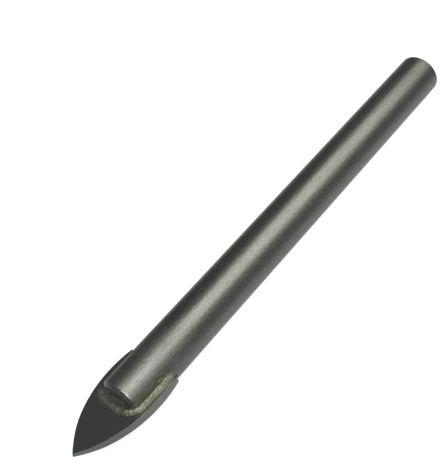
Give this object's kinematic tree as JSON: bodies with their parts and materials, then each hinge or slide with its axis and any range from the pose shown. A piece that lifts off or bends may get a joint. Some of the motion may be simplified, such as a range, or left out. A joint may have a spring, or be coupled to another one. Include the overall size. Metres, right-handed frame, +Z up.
{
  "type": "spear-point glass and tile drill bit",
  "caption": "Spear-point drill bit: a ground carbide plate brazed into the slotted end of a plain round steel shank, for drilling glass and ceramic tile.",
  "frame": {"origin": "on the surface that the bit lies on, under the middle of its length and on the plane of its axis", "axes": "+X along the bit from its point to the chuck end, +Y across the plate, +Z up, out of the plate's front face"},
  "size_m": [0.064, 0.008, 0.0053],
  "materials": {
    "shank_steel": "dark satin ground steel",
    "tungsten_carbide": "dark sintered carbide with fine-ground flanks",
    "braze_alloy": "dull grainy olive-gold braze"
  },
  "bodies": {
    "root": {"shank": "shank_steel", "carbide_tip": "tungsten_carbide", "braze_joint": "braze_alloy"}
  },
  "joints": []
}
